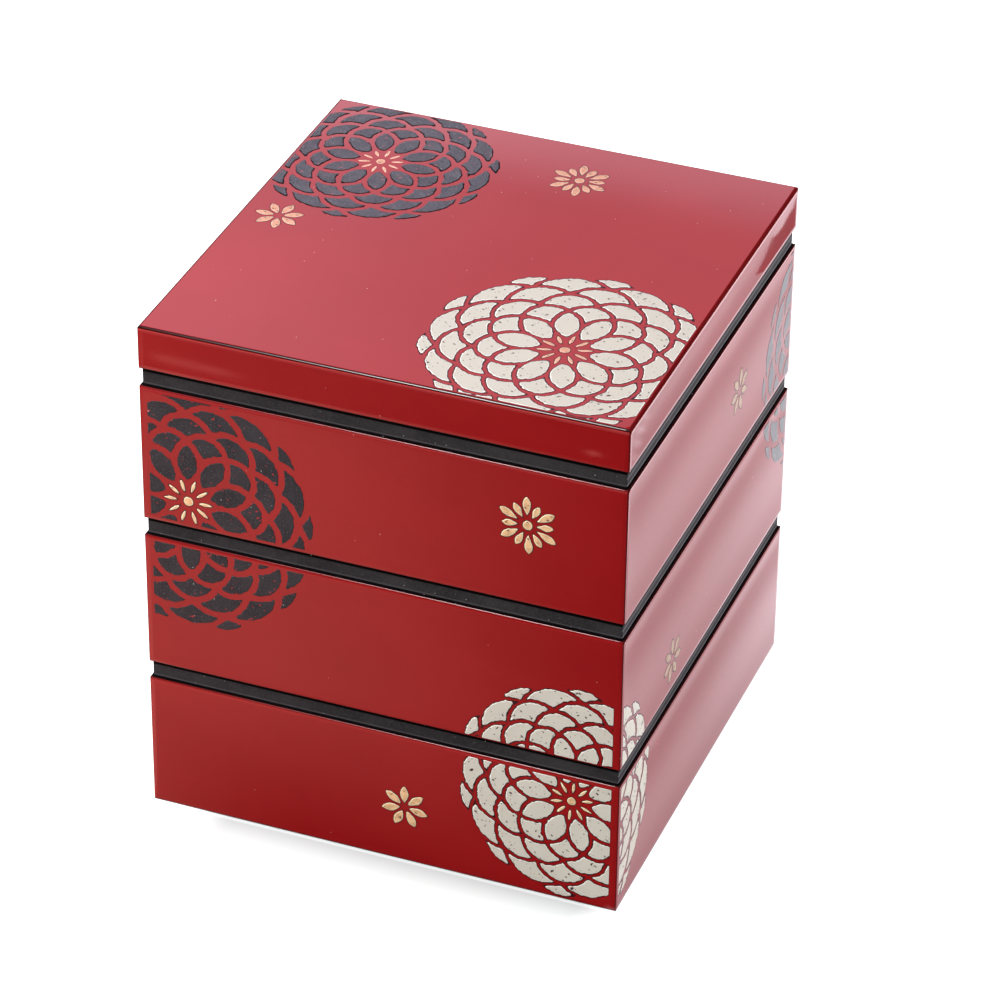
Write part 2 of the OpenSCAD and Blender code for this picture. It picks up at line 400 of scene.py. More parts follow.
def white_print(name, on_top, white):
    """Thick off-white print: chalky, a little uneven, with dark pits where the paint missed."""
    n = Nodes(name)
    place = n.face_place(on_top)
    pits = n.math("MAXIMUM", n.specks(n.turned(n.warped(place, 900, 0.0004), 35, 1.7), 470, 0.30, 0.00036),
                  n.specks(n.turned(n.warped(place, 700, 0.0006), -50, 2.2), 300, 0.20, 0.00046))
    pits = n.math("MAXIMUM", pits, n.specks(n.warped(place, 1300, 0.0002), 640, 0.25, 0.00022))
    tone = n.mix(pits, n.clouded(70, mixed(white, CREAM_SHADE, 0.25), white), WHITE_PIT)
    n.set(Base_Color=tone, Roughness=n.drifting(300, 0.30, 0.42), IOR=PAINT_IOR,
          Normal=n.bump(n.noise(1400, 2.0, 0.6), 0.000010))
    return n.material


def highlight_rim(name, colour):
    """The rounded rim of a white or gold print, paler than the print: a painted highlight along its edge."""
    n = Nodes(name)
    tone = n.mix(n.ramp(n.noise(500, 2.0, 0.6), 0.35, 0.7), mixed(colour, CREAM_SHADE, 0.2), colour)
    n.set(Base_Color=tone, Roughness=n.drifting(300, 0.34, 0.46), IOR=PAINT_IOR,
          Normal=n.bump(n.noise(1400, 2.0, 0.6), 0.000006))
    return n.material


def black_print(name, on_top, black, grain, fleck, ior, rough, relief):
    """Charcoal print with a grain, red flecks where the lacquer shows through, and light specks."""
    n = Nodes(name)
    place = n.face_place(on_top)
    tone = n.clouded(80, black, mixed(black, CHARCOAL, 0.35))
    tone = n.mix(n.ramp(n.noise(2300, 2.0, 0.7), 0.40, 0.64, 0, 0.9), tone, grain)
    ragged_place = n.warped(place, 900, 0.0003)
    flecks = n.math("MAXIMUM", n.specks(n.turned(ragged_place, -35, 2.3), 330, 0.28, 0.00034),
                    n.specks(n.turned(ragged_place, 60, 1.6), 420, 0.20, 0.00028))
    tone = n.mix(n.math("MULTIPLY", flecks, n.ramp(n.noise(60, 1.0), 0.36, 0.50, 0.3, 1.0)), tone, fleck)
    tone = n.mix(n.specks(place, 750, 0.40, 0.00020), tone, tuple(2.2 * c for c in grain))
    tone = n.mix(n.specks(place, 260, 0.10, 0.00022), tone, PALE_SPECK)
    n.set(Base_Color=tone, Roughness=n.drifting(260, rough, rough + 0.10), IOR=ior,
          Normal=n.bump(n.noise(1100, 2.0, 0.6), relief))
    return n.material


def black_rim(name):
    """The rim of the lid's black print, coloured by which way it faces: a painted highlight at the back left
    and painted shade towards the front.
    """
    n = Nodes(name)
    x, y, _ = n.axes(n.add("TexCoord").outputs["Normal"])
    towards_back = n.math("SUBTRACT", n.math("MULTIPLY", y, 0.85), n.math("MULTIPLY", x, 0.5))
    tone = n.mix(n.ramp(towards_back, -0.05, 0.02), RIM_SHADED, RIM_MIDDLE)
    tone = n.mix(n.ramp(towards_back, 0.05, 0.16), tone, RIM_LIT)
    n.set(Base_Color=tone, Roughness=n.drifting(300, 0.40, 0.52), IOR=1.3,
          Normal=n.bump(n.noise(1100, 2.0, 0.6), 0.000008))
    return n.material


def gold_print(name, on_top, gold, metallic=0.25, rough=0.32):
    """Pale gold powder print: warm, mostly matt, with a glint from the flakes and a few pits."""
    n = Nodes(name)
    place = n.face_place(on_top)
    tone = n.mix(n.ramp(n.noise(520, 3.0, 0.6), 0.38, 0.60), mixed(gold, GOLD_SHADE, 0.40), gold)
    pits = n.specks(n.turned(n.warped(place, 1100, 0.0005), 25, 2.0), 620, 0.62, 0.00036)
    n.set(Base_Color=n.mix(pits, tone, GOLD_PIT), Metallic=metallic, IOR=PAINT_IOR,
          Roughness=n.ramp(n.cells(2600, place=place), 0.0, 0.7, rough, rough + 0.16),
          Normal=n.bump(n.noise(2200, 2.0, 0.6), 0.000010))
    return n.material


def shade_line(name):
    """The thin dark edge that runs round a print: painted shade under its raised rim."""
    n = Nodes(name)
    tone = n.mix(n.ramp(n.noise(420), 0.35, 0.65), LINE_SHADE, mixed(LINE_SHADE, RED, 0.12))
    n.set(Base_Color=tone, Roughness=n.drifting(300, 0.3, 0.42), IOR=1.35,
          Normal=n.bump(n.noise(900), 0.000008))
    return n.material


# ---- the drawing, as fields over a face
# A field is positive inside a shape, and its value is close to the distance to the outline, in mm.

def disc(a, b, ca, cb, r):
    return r - np.hypot(a - ca, b - cb)


def around(direction, distance):
    angle = math.radians(direction)
    return distance * math.cos(angle), distance * math.sin(angle)


PETALS = 10  # petals in each ring of a roundel
STEP = 360 / PETALS
LENS_RING = (18.1, 10.85)  # circle centre distance and radius, for a roundel of R 50
SCALE_RINGS = ((22.4, 8.7), (27.7, 10.3), (31.6, 12.7), (34.1, 15.9), (37.9, 14.0))
SCALE_START = 18.5  # the first ring of scales starts outside this radius
WHITE_LINE, BLACK_LINE, LID_BLACK_LINE = 1.05, 1.30, 1.12  # half the bare line between petals


def soft_min(values, softness=0.32):
    """The least of several fields, with the corners between them rounded."""
    total = sum(np.exp(np.clip(-v, -60, 20) / softness) for v in values)
    return -softness * np.log(total)


def roundel_field(a, b, ca, cb, radius, phase, line):
    """Overlapping petals of a chrysanthemum roundel: one ring of lenses and five rings of scales."""
    s = radius / 50
    a, b = (a - ca) / s, (b - cb) / s
    reach = np.hypot(a, b)
    value = np.full(a.shape, -9.0)

    def ring_disc(direction, ring, grow):
        return disc(a, b, *around(direction, ring[0]), ring[1] + grow)

    for k in range(PETALS):
        petal, ray = phase + STEP * k, phase + STEP * (k + 0.5)
        lens = soft_min([ring_disc(ray, LENS_RING, -line),
                         ring_disc(ray - STEP, LENS_RING, -line)])
        value = np.maximum(value, lens)
        for number, ring in enumerate(SCALE_RINGS):
            own = petal if number % 2 else ray
            bounds = [ring_disc(own, ring, -line)]
            if number == 0:
                inner, turn = LENS_RING, STEP
                bounds.append(reach - SCALE_START)
            else:
                inner, turn = SCALE_RINGS[number - 1], STEP / 2
            bounds += [-ring_disc(own + side, inner, line) for side in (-turn, turn)]
            value = np.maximum(value, soft_min(bounds))
    return value * s


def ray_centre_field(a, b, ca, cb, radius, phase):
    """The gold middle of a roundel: a disc and ten pointed rays."""
    s = radius / 50
    a, b = (a - ca) / s, (b - cb) / s
    value = disc(a, b, 0, 0, 1.9)
    for k in range(PETALS):
        value = np.maximum(value, spindle(a, b, phase + STEP * (k + 0.5), 4.2, 9.9, 1.25, 0.5))
    return value * s


def spindle(a, b, direction, inner, outer, width, widest):
    """A petal along a direction, from inner to outer radius, pointed at both ends.

    widest is where the greatest width lies: 0.5 is half way, more is further out.
    """
    c, s = math.cos(math.radians(direction)), math.sin(math.radians(direction))
    along, across = a * c + b * s, np.abs(b * c - a * s)
    t = np.clip((along - inner) / (outer - inner), 0.0, 1.0)
    power = math.log(0.5) / math.log(widest)
    half_width = width / 2 * np.sin(math.pi * t ** power) ** 0.85
    beyond = np.maximum(inner - along, along - outer)
    return np.where(beyond > 0, -np.hypot(beyond, across), half_width - across)


def twelve_petal_field(a, b, ca, cb, long_at, short_at):
    """A small flower of six long and six short petals round a disc."""
    a, b = a - ca, b - cb
    value = disc(a, b, 0, 0, 1.75)
    for k in range(6):
        value = np.maximum(value, spindle(a, b, long_at + 60 * k, 3.9, 11.5, 2.9, 0.60))
        value = np.maximum(value, spindle(a, b, short_at + 60 * k, 3.3, 9.4, 2.5, 0.60))
    return value


def seven_petal_field(a, b, ca, cb, first_at):
    """A small flower of seven leaf-shaped petals that meet in the middle."""
    a, b = a - ca, b - cb
    value = np.full(a.shape, -9.0)
    for k in range(7):
        value = np.maximum(value, spindle(a, b, first_at + 360 / 7 * k, 1.9, 9.0, 3.1, 0.53))
    return value


def within(a, b, box):
    """Distance inside a rectangle (a low, a high, b low, b high)."""
    return np.minimum(np.minimum(a - box[0], box[1] - a), np.minimum(b - box[2], box[3] - b))


RAGGED = 0.42  # mm that a printed edge wanders
GOLD_WANDER = 0.45  # the share of it that a gold print has
RAGGED_LENGTH = 1.35  # mm from one wander to the next


def ragged(a, b, seed):
    """Smooth seeded noise over the face, in mm, that makes a printed edge a little uneven."""
    rng = np.random.default_rng(seed)
    lattice = rng.uniform(-1, 1, (256, 256))
    value = np.zeros(a.shape)
    for octave, weight in ((1.0, 0.60), (2.7, 0.40)):
        u, v = (a + 200) / RAGGED_LENGTH * octave, (b + 200) / RAGGED_LENGTH * octave
        i, j = np.floor(u).astype(int), np.floor(v).astype(int)
        fu, fv = u - i, v - j
        fu, fv = fu * fu * (3 - 2 * fu), fv * fv * (3 - 2 * fv)

        def at(di, dj):
            return lattice[(i + di) % 256, (j + dj) % 256]

        near = at(0, 0) * (1 - fu) + at(1, 0) * fu
        far = at(0, 1) * (1 - fu) + at(1, 1) * fu
        value += weight * (near * (1 - fv) + far * fv)
    return value * RAGGED


# ---- outlines of a field

GRID = 0.30  # mm between samples of a field


def outlines(field, a0, b0):
    """Closed loops where a sampled field crosses zero, counterclockwise round what is inside."""
    inside = field > 0

    def crossing(i, j, di, dj):
        f0, f1 = field[i, j], field[i + di, j + dj]
        t = f0 / (f0 - f1)
        return (a0 + (j + dj * t) * GRID, b0 + (i + di * t) * GRID)

    code = (inside[:-1, :-1] * 1 + inside[:-1, 1:] * 2 + inside[1:, 1:] * 4 + inside[1:, :-1] * 8)
    # edges of a grid square: 0 below, 1 right, 2 above, 3 left; each pair runs with the inside on its left
    pairs = {1: ((0, 3),), 2: ((1, 0),), 3: ((1, 3),), 4: ((2, 1),), 6: ((2, 0),), 7: ((2, 3),),
             8: ((3, 2),), 9: ((0, 2),), 11: ((1, 2),), 12: ((3, 1),), 13: ((0, 1),), 14: ((3, 0),),
             5: ((0, 3), (2, 1)), 10: ((1, 0), (3, 2))}
    step_from = {}
    point = {}
    for i, j in zip(*np.nonzero((code > 0) & (code < 15))):
        edge = ((i, j, 0), (i, j + 1, 1), (i + 1, j, 0), (i, j, 1))
        for start, end in pairs[int(code[i, j])]:
            for e in (edge[start], edge[end]):
                if e not in point:
                    point[e] = crossing(e[0], e[1], e[2], 1 - e[2])
            step_from[edge[start]] = edge[end]
    loops = []
    while step_from:
        first, here = next(iter(step_from.items()))
        del step_from[first]
        loop = [point[first]]
        while here != first:
            loop.append(point[here])
            here = step_from.pop(here)
        loops.append(np.array(loop))
    return loops


def area(loop):
    a, b = loop[:, 0], loop[:, 1]
    return 0.5 * np.sum(a * np.roll(b, -1) - np.roll(a, -1) * b)


def tidied(loop, spacing=0.22):
    """The loop with very short steps merged, so that no facet is a sliver."""
    keep = [loop[0]]
    for p in loop[1:]:
        if np.hypot(*(p - keep[-1])) > spacing:
            keep.append(p)
    if len(keep) > 3 and np.hypot(*(keep[-1] - keep[0])) < spacing:
        keep.pop()
    return np.array(keep)


def holds(loop, p):
    """Whether a closed loop goes round a point."""
    a, b = loop[:, 0], loop[:, 1]
    a2, b2 = np.roll(a, -1), np.roll(b, -1)
    cross = (b > p[1]) != (b2 > p[1])
    where = a + (p[1] - b) / np.where(b2 == b, 1e-9, b2 - b) * (a2 - a)
    return bool(np.count_nonzero(cross & (p[0] < where)) % 2)


def triangles(loops):
    """Triangles that fill the first loop less the others, counterclockwise, as index triples."""
    flat = [Vector((p[0], p[1], 0)) for loop in loops for p in loop]
    made = []
    for i, j, k in tessellate_polygon([[Vector((p[0], p[1], 0)) for p in loop] for loop in loops]):
        a, b, c = flat[i], flat[j], flat[k]
        turn = (b.x - a.x) * (c.y - a.y) - (b.y - a.y) * (c.x - a.x)
        if abs(turn) > 1e-9:
            made.append((i, j, k) if turn > 0 else (i, k, j))
    return made


# ---- prints as thin raised plates

FACES = {  # name: (a axis, b axis, outward axis)
    "front": (Vector((1, 0, 0)), Vector((0, 0, 1)), Vector((0, -1, 0))),
    "right": (Vector((0, 1, 0)), Vector((0, 0, 1)), Vector((1, 0, 0))),
    "back": (Vector((-1, 0, 0)), Vector((0, 0, 1)), Vector((0, 1, 0))),
    "left": (Vector((0, -1, 0)), Vector((0, 0, 1)), Vector((-1, 0, 0))),
    "top": (Vector((1, 0, 0)), Vector((0, 1, 0)), Vector((0, 0, 1))),
}
SUNK = 0.03  # mm that a print's foot lies in the lacquer
PRINT_EDGE = 0.26  # mm over which a print rises to its full thickness
LINE_WIDE = 0.42  # mm that the dark edge of painted shade shows round a print
THIN_LINE = 0.32  # the same round a flower
LINE_THICK, LINE_EDGE = 0.022, 0.08  # mm that it stands over the lacquer, and its own edge
LINE_PAST_BOX = 0.12  # mm that it goes past the rectangle of its print


def plate_object(name, face, field, start, thick, edge, materials, body):
    """One object: every patch where the field is positive becomes a plate with a sloped edge.

    materials holds the plate's own and, where the rim has another, the rim's.
    """
    a_axis, b_axis, out = FACES[face]
    level = lid_top if face == "top" else half
    shoulder = 0.45 * thick
    points, faces, is_rim = [], [], []

    def add(loop, height):
        first = len(points)
        points.extend((a_axis * p[0] + b_axis * p[1] + out * (level + height)) * MM for p in loop)
        return first

    def fill(loops, firsts, rim_too):
        index = [first + k for loop, first in zip(loops, firsts) for k in range(len(loop))]
        for triple in triangles(loops):
            faces.append([index[k] for k in triple])
            is_rim.append(rim_too)

    def usable(value, least):
        found = [tidied(loop) for loop in outlines(value, *start)]
        return [loop for loop in found if len(loop) > 4 and area(loop) > least]

    tops = usable(field - edge, 0.02)
    for outer in usable(field, 0.22):
        foot, rim = add(outer, -SUNK), add(outer, shoulder)
        count = len(outer)
        for k in range(count):
            m = (k + 1) % count
            faces.append([foot + k, foot + m, rim + m, rim + k])
            is_rim.append(False)
        inner = [loop for loop in tops if holds(outer, loop[0])]
        firsts = [add(loop, thick) for loop in inner]
        fill([outer] + inner, [rim] + firsts, True)
        for loop, first in zip(inner, firsts):
            fill([loop], [first], False)
    data = bpy.data.meshes.new(name)
    data.from_pydata(points, [], faces)
    data.polygons.foreach_set("use_smooth", is_rim)
    if len(materials) > 1:
        data.polygons.foreach_set("material_index", [int(r) for r in is_rim])
    for material in materials:
        data.materials.append(material)
    data.validate()
    piece = placed(name, data)
    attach(piece, body)


THICK = {  # mm that each paint stands over the lacquer
    "white": 0.07, "black": 0.05, "side_black": 0.05, "gold": 0.055, "side_gold": 0.055,
    "lid_white": 0.075, "lid_black": 0.110, "lid_gold": 0.06,
}


def printed(name, face, box, field, drawing, paint, seed, line_wide=0.0, edge=PRINT_EDGE):
    """A print inside a rectangle of a face, and the dark edge of painted shade under it where line_wide is
    given.

    The name's first word says which body it rides on, and the paint's last word tells a gold print, whose
    edge wanders less.
    """
    body = "lid" if name.startswith("lid") else name.split("_")[0] + "_tier"
    slot = paint.split("_")[-1] + "_print"
    pad = 3 * GRID
    a_line = np.arange(box[0] - pad, box[1] + pad + GRID, GRID)
    b_line = np.arange(box[2] - pad, box[3] + pad + GRID, GRID)
    a, b = np.meshgrid(a_line, b_line)
    value = field(a, b, *drawing) + ragged(a, b, seed) * (GOLD_WANDER if slot == "gold_print" else 1.0)
    start = (a_line[0], b_line[0])
    plate_object(name, face, np.minimum(value, within(a, b, box)), start, THICK[paint], edge,
                 paints[paint], body)
    if line_wide:
        wide = np.minimum(value + line_wide, within(a, b, box) + LINE_PAST_BOX)
        plate_object(name + "_edge", face, wide, start, LINE_THICK, LINE_EDGE, paints["line"], body)


# ---- what is printed where

SIDE_MARGIN, WRAP_MARGIN = 3.0, 2.0  # bare mm at the upright edges, where roundels end or turn
TOP_MARGIN = 1.85  # bare mm under a tier's top edge
UPPER_FOOT_MARGIN, FOOT_MARGIN = 1.75, 1.0  # bare mm over a tier's bottom edge
LID_MARGIN = 1.5  # bare mm round the lid's top
BEYOND = 1e3  # mm, outside every face


def tier_box(tier, margin):
    foot = UPPER_FOOT_MARGIN if tier == "upper" else FOOT_MARGIN
    return -half + margin, half - margin, tier_base[tier] + foot, tier_top[tier] - TOP_MARGIN


def clipped(box, low_a=-BEYOND, high_a=BEYOND, low_b=-BEYOND, high_b=BEYOND):
    """The part of a rectangle round a drawing, to keep its field small."""
    return (max(box[0], low_a), min(box[1], high_a), max(box[2], low_b), min(box[3], high_b))


# A roundel's drawing is (across, up, radius, turn in degrees), and a flower's (across, up, turns). The mm
# run from the face's middle and, on the sides, up from the ground. A flower has its rectangle too.
LID_WHITE, LID_BLACK = (51.7, -49.6, 49.4, -0.6), (-57.1, 50.0, 42.9, -1.0)
LID_FLOWERS = (("large", (1, 29, 50, 78), (15.1, 63.9, 40, 10)),
               ("small", (-87, -64, -12, 10.5), (-75.6, -0.75, 76)))
WIDE_ROUNDELS = (("upper", "black", (-72.4, 134.1, 46.8, 18)), ("middle", "black", (-72.1, 128.6, 46.8, 18)),
                 ("lower", "white", (72.4, 44.0, 41.8, 30.3)), ("middle", "white", (72.1, 49.7, 41.8, 30.3)))
WIDE_FLOWERS = (("upper", (41, 68, 142, 169), (54.2, 155.25, 33, 3)),
                ("lower", (-1.5, 20, 13, 35), (9.1, 23.9, 91)))
WRAP_ROUNDELS = (("lower", "white", (-101.6, 43.8, 42.0, 30)), ("middle", "white", (-102.6, 48.9, 42.0, 30)),
                 ("upper", "side_black", (103.8, 133.2, 46.2, 18)),
                 ("middle", "side_black", (104.3, 127.0, 46.2, 18)))
WRAP_FLOWERS = (("upper", (18, 41, 137, 161), (29.3, 149.2, 80)),
                ("middle", (-48, -25, 64, 86), (-36.3, 74.7, 93)))
LID_REACH = {"white": 51.5, "black": 45}  # mm from a roundel's middle to where its rectangle ends
SIDE_REACH = {"white": 44, "black": 49}  # the same on the side faces
CENTRE_REACH = 11  # the same for a gold middle
LID_BLACK_EDGE = 0.46  # mm over which the lid's black print rises
ROUNDEL_SEEDS, CENTRE_SEED, FLOWER_SEED = (5, 6, 14, 15), 20, 30


def centre(name, face, box, drawing, paint, seed, line_wide=THIN_LINE):
    """The gold middle of a roundel."""
    across, up = drawing[:2]
    near = clipped(box, across - CENTRE_REACH, across + CENTRE_REACH, up - CENTRE_REACH, up + CENTRE_REACH)
    printed(name, face, near, ray_centre_field, drawing, paint, seed, line_wide)


def flower(name, face, box, drawing, paint, seed):
    """A gold flower: of twelve petals where the drawing has two turns, else of seven."""
    field = twelve_petal_field if len(drawing) == 4 else seven_petal_field
    printed(name, face, box, field, drawing, paint, seed, THIN_LINE)


def lid_prints():
    """A white roundel at the front right, a black one at the back left, and two flowers."""
    field = half - LID_MARGIN
    box = (-field, field, -field, field)
    near = clipped(box, low_a=LID_WHITE[0] - LID_REACH["white"], high_b=LID_WHITE[1] + LID_REACH["white"])
    printed("lid_roundel_white", "top", near, roundel_field, (*LID_WHITE, WHITE_LINE), "lid_white", 1,
            LINE_WIDE)
    near = clipped(box, high_a=LID_BLACK[0] + LID_REACH["black"], low_b=LID_BLACK[1] - LID_REACH["black"])
    printed("lid_roundel_black", "top", near, roundel_field, (*LID_BLACK, LID_BLACK_LINE), "lid_black", 2,
            edge=LID_BLACK_EDGE)
    centre("lid_centre_white", "top", box, LID_WHITE, "lid_gold", 3)
    centre("lid_centre_black", "top", box, LID_BLACK, "lid_gold", 4, line_wide=0.0)
    for seed, (size, near, drawing) in enumerate(LID_FLOWERS, 5):
        flower(f"lid_flower_{size}", "top", near, drawing, "lid_gold", seed)


def side_prints(face, seed, margin, roundels, centres, flowers, gold):
    """Roundels cut by the tiers' edges, the gold middles of those that show one, and two flowers."""
    for number, (tier, paint, drawing) in zip(ROUNDEL_SEEDS, roundels):
        colour = paint.split("_")[-1]
        line, line_wide = (WHITE_LINE, LINE_WIDE) if colour == "white" else (BLACK_LINE, 0.0)
        across, reach = drawing[0], SIDE_REACH[colour]
        low, high = (-BEYOND, across + reach) if across < 0 else (across - reach, BEYOND)
        printed(f"{tier}_{face}_roundel_{colour}", face, clipped(tier_box(tier, margin), low, high),
                roundel_field, (*drawing, line), paint, seed + number, line_wide)
    for tier, colour, drawing in centres:
        centre(f"{tier}_{face}_centre_{colour}", face, tier_box(tier, margin), drawing, gold,
               seed + CENTRE_SEED)
    for number, (tier, near, drawing) in enumerate(flowers, FLOWER_SEED):
        flower(f"{tier}_{face}_flower", face, near, drawing, gold, seed + number)


# ---- studio

FLOOR_HALF, FLOOR_Z = 4, -0.0002  # metres
FLOOR_GLOW = 1.00  # lifts the floor to pure white where the camera sees it
SHADE_GLOW = 0.13  # the least lift, in the soft shade along the box's front
SHADE_MIDDLE, SHADE_HALF = 0.008, 0.066  # metres, where that shade lies
EVEN_LIGHT, WHITE_BEHIND = 0.60, 1.1  # the world's light, and its white for the camera
EDGE_SHINE = 3.0  # light of the strip that draws the right-hand edges' lines
DIM = 0.03  # light where a card is seen by edges only
FAR_Z, FLOOR_CARD_Z, WEDGE_EDGE_Z, WEDGE_Z = 0.2, 0.4, 0.5, 0.6  # mm over the ground
BACK_CARD_Y, OVERHEAD_Z = 420, 900.0  # mm, where these cards stand
OVERHEAD_LIGHT, OVERHEAD_X, OVERHEAD_WIDE = 25.0, -205, 100


def floor_material():
    """A white floor: matt, lifted to pure white for the camera but for a soft shade at the front edge."""
    n = Nodes("studio_floor")
    x, y, _ = n.axes()
    from_front = n.math("SUBTRACT", -half * MM, y)
    beside = n.math("SUBTRACT", n.math("ABSOLUTE", n.math("ADD", x, -SHADE_MIDDLE)), SHADE_HALF)
    glow = n.math("ADD", n.ramp(from_front, 0.0022, 0.0115, SHADE_GLOW, 0.40, smooth=False),
                  n.ramp_mm(from_front, 0.0, 1.6, 0.26, 0.0))
    clear = n.math("MAXIMUM", n.ramp_mm(beside, 0.0, 26), n.ramp_mm(from_front, 11, 15))
    clear = n.math("MAXIMUM", clear, n.ramp_mm(from_front, -4, -12))
    glow = n.ramp(clear, 0.0, 1.0, glow, FLOOR_GLOW, smooth=False)
    glow = n.math("MULTIPLY", n.add("LightPath").outputs["Is Camera Ray"], glow)
    n.set(Base_Color=(0.50, 0.527, 0.531, 1), Roughness=0.9, Specular_IOR_Level=0.1,
          Emission_Color=(1, 1, 1, 1), Emission_Strength=glow)
    return n.material


def add_floor():
    """A flat floor, which is not part of the object."""
    data = bpy.data.meshes.new("floor")
    data.from_pydata([(x * FLOOR_HALF, y * FLOOR_HALF, FLOOR_Z)
                      for x, y in ((-1, -1), (1, -1), (1, 1), (-1, 1))], [], [(0, 1, 2, 3)])
    data.materials.append(floor_material())
    placed("floor", data)


def smooth(value, low, high):
    t = np.clip((value - low) / (high - low), 0, 1)
    return t * t * (3 - 2 * t)


def hill(value, middle, width):
    return np.exp(-((value - middle) / width) ** 2)


def camera_place():
    return np.array(bpy.context.scene.camera.location) / MM


def mirrored(points, axis, level):
    """Where on the box's face (at that level of that axis) the photograph's camera sees each point."""
    eye = camera_place()
    eye[axis] = 2 * level - eye[axis]
    share = (level - eye[axis]) / (points[:, axis] - eye[axis])
    return eye + (points - eye) * share[:, None]


def right_glow(y, z):
    """Light that the right face mirrors: soft bands across each tier, brighter to the back."""
    back = np.clip((y + 60) / 135, 0, 1.1) ** 2
    value = np.full(y.shape, 0.9)
    for tier, near, far in (("lower", 0.70, 1.06), ("middle", 0.80, 1.06), ("upper", 0.91, 1.00)):
        down = tier_top[tier] - z
        here = smooth(down, -6, -1) * (1 - smooth(down, 54, 60))
        wave = 1 + 0.62 * (1 - smooth(down, 2, 9)) + (0.38 + 0.12 * back) * smooth(down, 10, 30)
        wave -= 0.30 * smooth(down, 36, 51)
        value = value * (1 - here) + (near + (far - near) * back) * wave * here
    lid = smooth(z, lid_base - 3, lid_base)
    skirt = 0.80 + 0.14 * smooth(z, 187, 192) + 0.36 * smooth(z, 192.5, 197)
    skirt += 0.45 * smooth(y, 50, 70) * smooth(z, 192, 196)
    skirt += 0.60 * hill(y, -86 + (z - 185) * 0.65, 2.2) * smooth(z, 183, 190)
    value = value * (1 - lid) + skirt * lid
    return value + 0.10 * (1 - smooth(y, -88, -80))


WEDGE = ((43, 189.5), (54, 190.6), (57.5, 193.2), (60, 195.1), (66, 194.7), (72, 194.6), (77, 195.5),
         (83, 195.8), (86.5, 197.4), (91, 199.5), (91, 180.0), (80, 180.0), (62, 182.5),
         (52, 186.6))  # y and z in mm, where the right face mirrors its corners
WEDGE_LIGHT, WEDGE_EDGE_LIGHT = 0.24, 0.01


def on_floor(y, z, level):
    """Where on the floor the photograph's camera sees, mirrored in the right face at (y, z)."""
    eye = camera_place()
    eye[0] = 2 * half - eye[0]
    seen = np.array((half, y, z))
    return eye + (seen - eye) * (eye[2] - level) / (eye[2] - z)


def add_glow(name, points, faces, light):
    """Puts a mesh that gives off light into the studio, so that only glossy surfaces show it.

    light is a colour for each point, or one for all of them.
    """
    data = bpy.data.meshes.new(name)
    data.from_pydata((points * MM).tolist(), [], faces)
    n = Nodes(name)
    if np.ndim(light) > 1:
        colours = data.attributes.new("light", "FLOAT_COLOR", "POINT")
        colours.data.foreach_set("color", np.concatenate((light, np.ones((len(light), 1))), 1).ravel())
        light = n.add("Attribute", attribute_name="light").outputs["Color"]
    n.set(Base_Color=(0, 0, 0, 1), Roughness=1.0, Specular_IOR_Level=0.0, Emission_Color=light,
          Emission_Strength=1.0)
    data.materials.append(n.material)
    made = placed(name, data)
    made.visible_camera = made.visible_diffuse = made.visible_shadow = False
    made.visible_transmission = made.visible_volume_scatter = False


def add_wedge(name, outline, level, light):
    """A flat dark shape on the floor, mirrored as a wedge low on the lid's right side."""
    points = np.array([on_floor(y, z, level) for y, z in outline])
    add_glow(name, points, [list(range(len(points)))], (light, light, light * 1.1, 1))


def grown(outline, by):
    """The outline moved outwards by a distance; its points run clockwise or anticlockwise alike."""
    p = np.array(outline, float)
    along = np.roll(p, -1, 0) - np.roll(p, 1, 0)
    out = np.stack((along[:, 1], -along[:, 0]), 1) / np.hypot(*along.T)[:, None]
    if area(p) < 0:
        out = -out
    return p + out * by


def front_glow(x, z):
    """Light that the front mirrors: faint on the left, almost none on the right, and two soft streaks."""
    value = 0.02 + 0.60 * (1 - smooth(x, -60, 110))
    value *= 1 - (1 - smooth(z, -15, 80)) * smooth(x, -130, -30)
    value *= 1 - 0.65 * smooth(z, 178, 186)
    value += 0.12 * (1 - smooth(x, -93, -87))
    streak = smooth(x, -88, -80) * (1 - smooth(x, -62, -46)) * hill(z, 190.5 - (x + 85) * 0.012, 1.5)
    spot = hill(x, 78, 3.6) * hill(z, 190.0 + (x - 78) * 0.10, 0.4)
    return value + 0.55 * streak + 1.3 * spot


def top_glow(x, y):
    """Light that the lid mirrors: brighter to the left and at the back, dimmest right of the middle."""
    value = 0.72 + 0.36 * (1 - smooth(x, -95, 40)) + 0.12 * smooth(-y, 10, 95)
    return value + 0.72 * smooth(y, 42, 92)


def card(name, across, along, place, colour):
    """A grid of the studio; colour(points) gives its light."""
    u, v = np.meshgrid(across, along)
    points = place(u.ravel(), v.ravel())
    rows, cols = u.shape
    first = (np.arange(rows - 1)[:, None] * cols + np.arange(cols - 1)[None, :]).ravel()
    faces = np.stack((first, first + 1, first + cols + 1, first + cols), 1)
    add_glow(name, points, faces.tolist(), colour(points))


def level_at(height):
    """Places a card's points flat, at one height in mm."""
    return lambda u, v: np.stack((u, v, np.full(u.shape, height)), 1)


